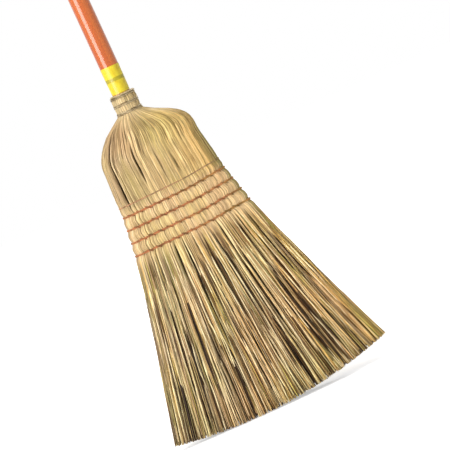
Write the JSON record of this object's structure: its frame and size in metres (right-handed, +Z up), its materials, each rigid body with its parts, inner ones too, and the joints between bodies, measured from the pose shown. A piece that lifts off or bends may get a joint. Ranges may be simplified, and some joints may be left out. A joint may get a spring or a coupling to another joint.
{
  "type": "corn broom",
  "caption": "Natural corn broom: lacquered wooden handle with a paper band, wire-bound neck, rounded straw shoulders, rows of red stitching and a fanned, trimmed sweeping edge.",
  "frame": {"origin": "on the floor under the middle of the sweeping edge, midway front to back", "axes": "+Z up along the handle, +X across the head to the right as seen from the front, +Y to the back, so the shown face looks along -Y"},
  "size_m": [0.3094, 0.0536, 1.4247],
  "materials": {
    "lacquered_wood": "orange-red gloss lacquer on turned hardwood",
    "label_paper": "smooth yellow coated paper",
    "steel_wire": "dulled galvanised steel",
    "broomcorn": "dry natural broomcorn straw",
    "red_twine": "dyed red-brown sewing twine"
  },
  "bodies": {
    "root": {"handle": "lacquered_wood", "handle_label": "label_paper", "neck_binding_wire": "steel_wire", "inner_binding_wire": "steel_wire", "wire_nails": "steel_wire", "core_bunch": "broomcorn", "left_shoulder_bunch": "broomcorn", "right_shoulder_bunch": "broomcorn", "front_cover_straw": "broomcorn", "back_cover_straw": "broomcorn", "core_sweep_straw": "broomcorn", "left_sweep_straw": "broomcorn", "right_sweep_straw": "broomcorn", "front_sweep_straw": "broomcorn", "back_sweep_straw": "broomcorn", "stitch_band_1": "red_twine", "stitch_band_2": "red_twine", "stitch_band_3": "red_twine", "stitch_band_4": "red_twine", "lock_stitch_1": "red_twine", "lock_stitch_2": "red_twine", "lock_stitch_3": "red_twine", "lock_stitch_4": "red_twine", "lead_turn_twine": "red_twine"}
  },
  "joints": []
}
